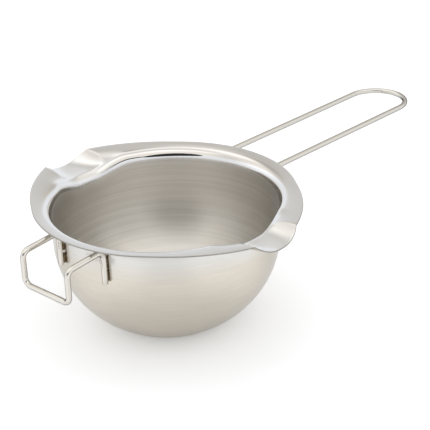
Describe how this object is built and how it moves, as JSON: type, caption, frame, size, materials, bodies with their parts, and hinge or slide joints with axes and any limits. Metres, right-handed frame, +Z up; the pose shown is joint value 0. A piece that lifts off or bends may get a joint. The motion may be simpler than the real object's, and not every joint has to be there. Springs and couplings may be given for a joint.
{
  "type": "melting pot",
  "caption": "Steel melting bowl with a flange, a pouring spout on each side, a long wire handle and a wire hook that hold it in a saucepan of hot water.",
  "frame": {"origin": "centre of the underside of the flat base", "axes": "+X along the handle, +Z up out of the bowl's mouth, the spouts along +Y and -Y"},
  "size_m": [0.2853, 0.162, 0.0718],
  "materials": {
    "bowl_steel": "satin with fine lines round the bowl inside and out, polished on the shoulder, brushed on the flange, dull on its cut edge",
    "wire_steel": "polished drawn wire",
    "weld_steel": "bare spot weld, browned by the heat of welding"
  },
  "bodies": {
    "root": {"bowl": "bowl_steel", "handle_wire": "wire_steel", "hook_wire": "wire_steel", "weld_handle_left_1": "weld_steel", "weld_handle_left_2": "weld_steel", "weld_handle_right_1": "weld_steel", "weld_handle_right_2": "weld_steel", "weld_hook_left_1": "weld_steel", "weld_hook_left_2": "weld_steel", "weld_hook_right_1": "weld_steel", "weld_hook_right_2": "weld_steel"}
  },
  "joints": []
}
